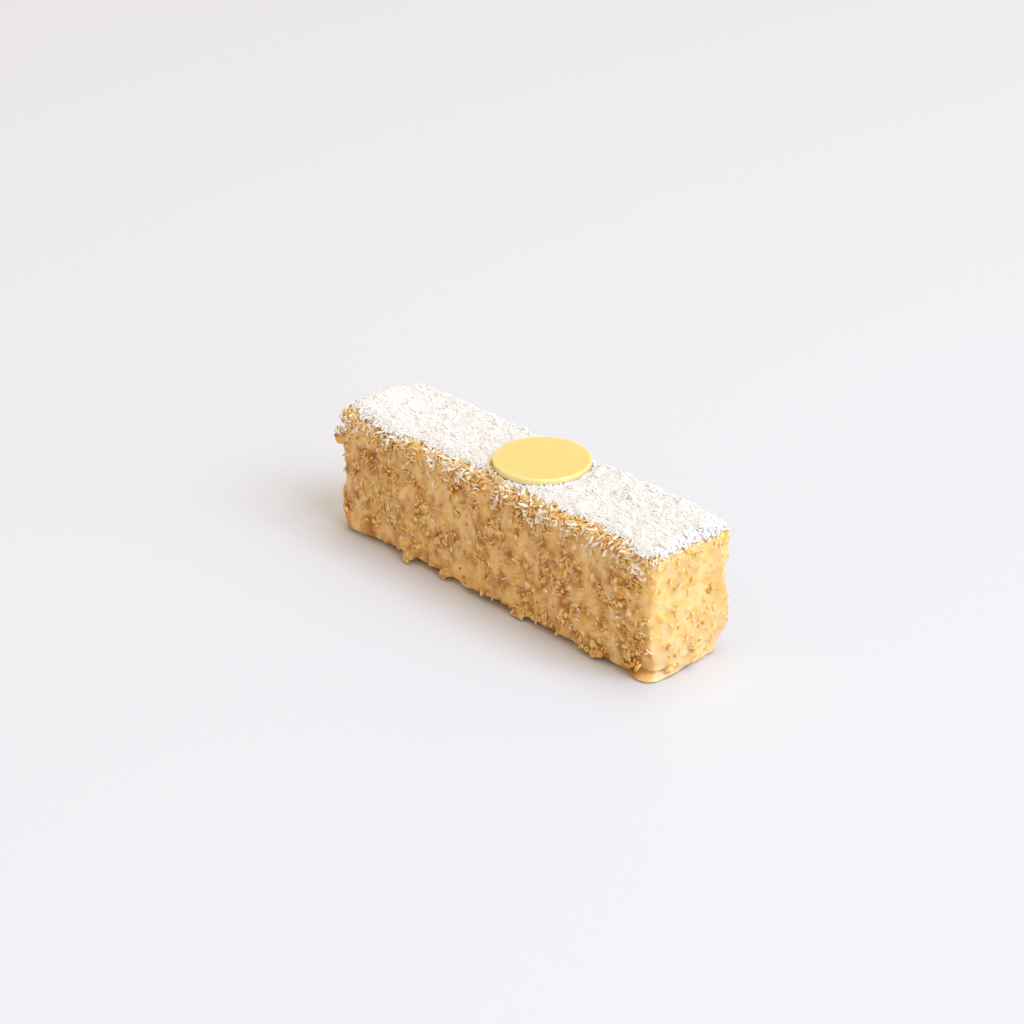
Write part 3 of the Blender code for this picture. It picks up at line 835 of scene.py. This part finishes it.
FALLEN_WIDTHS = (0.38, 0.78)
strew("fallen_shreds", fallen_white, fallen, 340, (1.0, 2.8), (0.15, 0.60), 31, 0.8, FALLEN_WIDTHS)
strew("stray_shreds", fallen_white, open_spots * (0.3 + drifts), 22, (0.8, 1.5), (0.0, 0.30), seed=37)
sunk_in = band + 0.06 * crowding
strew("glazed_shreds", glazed_shred, sunk_in, 1300, (1.0, 3.0), (0.05, 0.45), seed=41, upturn=0.5)
scallops = (0.5 + 1.1 * noise_at(raised * (0, 1, 0), 3.6 * MM, channel=5)) * MM
over_end = (raised[:, 0] > 58 * MM) * (below_edge < scallops) * (to_coconut > 0.15 * MM)
near_front = ramp(-2 * MM, 4 * MM, -raised[:, 1])
draped = over_end * (0.15 + near_front)
strew("draped_shreds", coconut_white, draped, 90, (0.8, 1.8), (-0.05, 0.25), seed=47)

# %% [markdown]
# At the front left corner the shreds were swept into a pile, golden with glaze below and cream on
# top, and a knob of toasted crumbs hangs on the edge under it. Both are rounded mounds. Only their
# outer part is filled, because nothing shows from the inside.

# %% Pile up the corner
MOSTLY_OUT = (-0.3, -0.7, 0.5)
PAST_BOX = 0.5 * MM
# How far the pile and the knob reach each way from their middles, in millimetres.
PILE_REACH = (5.2, 2.7, 3.2)
KNOB_REACH = (1.5, 1.4, 1.4)


def corner_pile(name, finish, count, lengths, middle, reach, seed):
    """Curly strips in the outer part of a rounded mound, none of them beyond the bar's own box."""
    draw = np.random.default_rng(seed)
    outward = unit(draw.normal(size=(count, 3)) + MOSTLY_OUT)
    places = (np.array(middle) + outward * reach * draw.uniform(0.75, 1.0, (count, 1))) * MM
    sizes = random_sizes(draw, count, lengths, (0.40, 0.75), (0.28, 0.45))
    points = strips(draw, places, frames_on(draw, outward, tilt=0.5), sizes, curl=0.8)
    low, high = np.array(cad_box[0]) - PAST_BOX, np.array(cad_box[1])
    inside = ((points >= low) & (points <= high)).all(axis=(1, 2))
    add_shreds(name, finish, points[inside])


corner_pile("pile_glazed", glazed_shred, 520, (1.2, 3.0), (-58.8, -13.0, 34.6), PILE_REACH, 61)
GOLDEN_REACH = (5.1, 2.7, 3.2)
corner_pile("pile_golden", golden_crumb, 330, (1.0, 2.4), (-58.8, -12.9, 34.4), GOLDEN_REACH, 62)
corner_pile("pile_cream", fallen_white, 50, (2.0, 4.2), (-59.2, -13.1, 35.0), (5.2, 2.9, 3.3), 67)
corner_pile("knob_toasted", toasted_crumb, 60, (0.8, 1.8), (-64.0, -14.6, 28.1), KNOB_REACH, 71)
corner_pile("knob_cream", fallen_white, 16, (1.4, 2.8), (-63.8, -14.9, 29.8), (1.6, 1.2, 1.0), 73)

# %% [markdown]
# The layer's edge isn't a clean step either. Loose shreds lean out over its rim and down, and hide
# the line where coconut and glaze meet. They are drawn where the bed turns steep, and not right in
# front of the disc, where the rim is hidden under it.

# %% Lean shreds over the rim
RIM_SHREDS = 1500

draw = np.random.default_rng(53)
clear_of_front = (from_disc > 1.5 * MM) | (bed_points[:, 1] > disc_centre.y)
spots = pick(draw, ramp(0.15, 0.6, 1 - np.abs(bed_normals[:, 2])) * clear_of_front, RIM_SHREDS)
outward = unit(bed_normals[spots] * (1, 1, 0))
along = unit(outward + draw.normal(size=(RIM_SHREDS, 3)) * (0.7, 0.7, 0.35) - np.array((0, 0, 0.35)))
side = unit(np.cross(along, draw.normal(size=(RIM_SHREDS, 3))))
sizes = random_sizes(draw, RIM_SHREDS, (0.9, 2.6), (0.38, 0.75), (0.28, 0.45))
push = draw.uniform(-0.4, 0.9, RIM_SHREDS)[:, None] * MM
points = strips(draw, sunk[spots] + outward * push, (along, side, np.cross(along, side)), sizes, curl=0.45)
add_shreds("rim_shreds", coconut_white, points[clear_of_disc(points)])

# %% [markdown]
# In front, the layer slopes away under the disc and would leave a dark gap. Shreds fill it. A ray
# cast straight down finds the coconut's surface, and each shred lies somewhere between that surface
# and the disc's underside.

# %% Tuck shreds under the disc's front edge
TUCKED_SHREDS = 700
DEEPEST_TUCK = 0.8 * MM


def coconut_below(x, y):
    """The height of the coconut at a place, or None beside it."""
    hit = coconut_tree.ray_cast(Vector((x, y, disc_high.z)), Vector((0, 0, -1)))[0]
    return hit.z if hit else None


draw = np.random.default_rng(59)
angles = draw.uniform(math.radians(-175), math.radians(-5), TUCKED_SHREDS)
reach = disc_radius * draw.uniform(0.88, 1.02, TUCKED_SHREDS)
highest = disc_low.z - 0.12 * MM
tucked = []
for x, y in zip(disc_centre.x + reach * np.cos(angles), disc_centre.y + reach * np.sin(angles)):
    below = coconut_below(x, y)
    lowest = highest - DEEPEST_TUCK if below is None else min(below, highest)
    tucked.append((x, y, draw.uniform(lowest, highest)))
axes = frames_on(draw, np.tile((0.0, 0.0, 1.0), (TUCKED_SHREDS, 1)), tilt=0.35)
sizes = random_sizes(draw, TUCKED_SHREDS, (0.8, 2.0), (0.35, 0.65), (0.25, 0.40))
points = strips(draw, np.array(tucked), axes, sizes, curl=0.4)
add_shreds("tucked_shreds", coconut_white, points[clear_of_disc(points)])

# %% [markdown]
# All round the disc, shreds lean against its rim, as if it had been pressed in a little. They are
# golden and cream at the front edge, where the glaze is near, and white elsewhere. Behind the disc
# only those that the coconut carries are kept.

# %% Heap shreds against the disc's rim
def lean_on_disc(name, finish, count, degrees, seed):
    """Strips heaped against the rim, over the given range of directions from the disc's middle."""
    draw = np.random.default_rng(seed)
    angles = np.radians(draw.uniform(*degrees, count))
    reach = disc_radius * draw.uniform(0.99, 1.09, count)
    places = []
    held = []
    for angle, distance in zip(angles, reach):
        x, y = disc_centre.x + distance * math.cos(angle), disc_centre.y + distance * math.sin(angle)
        below = coconut_below(x, y)
        held.append(below is not None or y < disc_centre.y)
        lowest = top_of_coat if below is None else below
        places.append((x, y, draw.uniform(lowest, max(lowest, disc_low.z + 0.1 * MM))))
    outward = unit(np.stack([np.cos(angles), np.sin(angles), np.full(count, 0.7)], axis=1))
    sizes = random_sizes(draw, count, (1.0, 2.4), (0.32, 0.60), (0.24, 0.40))
    points = strips(draw, np.array(places), frames_on(draw, outward, tilt=0.4), sizes, curl=0.4)
    add_shreds(name, finish, points[clear_of_disc(points, beside=0) & np.array(held)])


lean_on_disc("disc_edge_glazed", glazed_shred, 150, (-137, -92), seed=97)
lean_on_disc("disc_edge_cream", fallen_white, 200, (-150, -75), seed=101)
lean_on_disc("disc_edge_white", coconut_white, 320, (-85, 15), seed=103)
lean_on_disc("disc_edge_far", coconut_white, 500, (15, 215), seed=107)

# %% [markdown]
# ## The disc
# The disc is cast chocolate: flat, with a softly rounded rim. The solid's shape is right, so it
# only needs its finish. Its thin rim catches light and lets it through, so a paler yellow is painted
# there as rim light, by the distance from the disc's middle.

# %% Finish the disc
RIM_WIDTH = 0.7 * MM


def paint_rim_light(finish, middle, radius, colour):
    """Paints rim light: mixes a lighter colour in from just inside a radius outwards, as seen from above.
    """
    nodes = finish.node_tree.nodes
    links = finish.node_tree.links
    place = nodes.new("ShaderNodeTexCoord")
    flat = nodes.new("ShaderNodeVectorMath")
    flat.operation = "MULTIPLY"
    flat.inputs[1].default_value = (1, 1, 0)
    links.new(place.outputs["Object"], flat.inputs[0])
    far = nodes.new("ShaderNodeVectorMath")
    far.operation = "DISTANCE"
    far.inputs[1].default_value = (middle.x, middle.y, 0)
    links.new(flat.outputs["Vector"], far.inputs[0])
    share = nodes.new("ShaderNodeMapRange")
    share.inputs["From Min"].default_value = radius - RIM_WIDTH
    share.inputs["From Max"].default_value = radius
    links.new(far.outputs["Value"], share.inputs["Value"])
    mix_in(finish, share.outputs["Result"], colour)


# painted rim light: a paler yellow on the disc's rim
paint_rim_light(yellow_chocolate, disc_centre, disc_radius, (0.95, 0.78, 0.42))
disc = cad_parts["disc"]
disc.data.materials.clear()
disc.data.materials.append(yellow_chocolate)
print("disc radius:", round(1000 * disc_radius, 2), "mm")

# %% [markdown]
# ## Floor and light
# The bar lies on a plain pale floor, eight metres wide, so that no edge of it shows. It is only a
# stage and isn't part of the cake. One even colour keeps the eye on the cake, and a faint blue in it
# balances the warm glow from all round.

# %% The floor
FLOOR_SIZE = 8.0

bpy.ops.mesh.primitive_grid_add(x_subdivisions=8, y_subdivisions=8, size=FLOOR_SIZE)
floor = bpy.context.object
floor.name = "floor"
paper = bpy.data.materials.new("floor_paper")
paper.use_nodes = True
paper.node_tree.nodes["Principled BSDF"].inputs["Base Color"].default_value = (0.71, 0.76, 0.89, 1)
paper.node_tree.nodes["Principled BSDF"].inputs["Roughness"].default_value = 0.6
floor.data.materials.append(paper)
print("floor:", FLOOR_SIZE, "m wide")

# %% [markdown]
# The world gives a warm even glow, which is all that the front gets. Three large cool lights do the
# rest: one high on the right, one low like a window, which brightens the end, and one overhead for
# the coconut and a soft shadow. Small lights would make hard shadows and glints on the glaze.

# %% The lights
world = bpy.data.worlds.new("studio")
bpy.context.scene.world = world
world.use_nodes = True
world.node_tree.nodes["Background"].inputs["Color"].default_value = (1.0, 0.74, 0.45, 1)
world.node_tree.nodes["Background"].inputs["Strength"].default_value = 0.68


LIGHT_DISTANCE = 4.0


def soft_light(name, azimuth, elevation, width, height, power, colour):
    """An area light that looks at the cake from an azimuth measured from +x towards +y, in degrees."""
    lamp = bpy.data.objects.new(name, bpy.data.lights.new(name, "AREA"))
    bpy.context.scene.collection.objects.link(lamp)
    a, e = math.radians(azimuth), math.radians(elevation)
    away = Vector((math.cos(a) * math.cos(e), math.sin(a) * math.cos(e), math.sin(e)))
    lamp.location = LIGHT_DISTANCE * away
    lamp.rotation_euler = away.to_track_quat("Z", "Y").to_euler()
    lamp.data.shape = "RECTANGLE"
    lamp.data.size = width
    lamp.data.size_y = height
    lamp.data.energy = power
    lamp.data.color = colour
    print(name, "light:", power, "W")


soft_light("key", azimuth=15, elevation=50, width=2.4, height=2.4, power=92, colour=(0.76, 0.88, 1.0))
soft_light("window", azimuth=4, elevation=14, width=4.0, height=1.7, power=56, colour=(0.80, 0.90, 1.0))
soft_light("overhead", azimuth=100, elevation=80, width=2.4, height=2.4, power=50, colour=(0.80, 0.93, 1.0))
bpy.context.scene.view_settings.view_transform = "Standard"
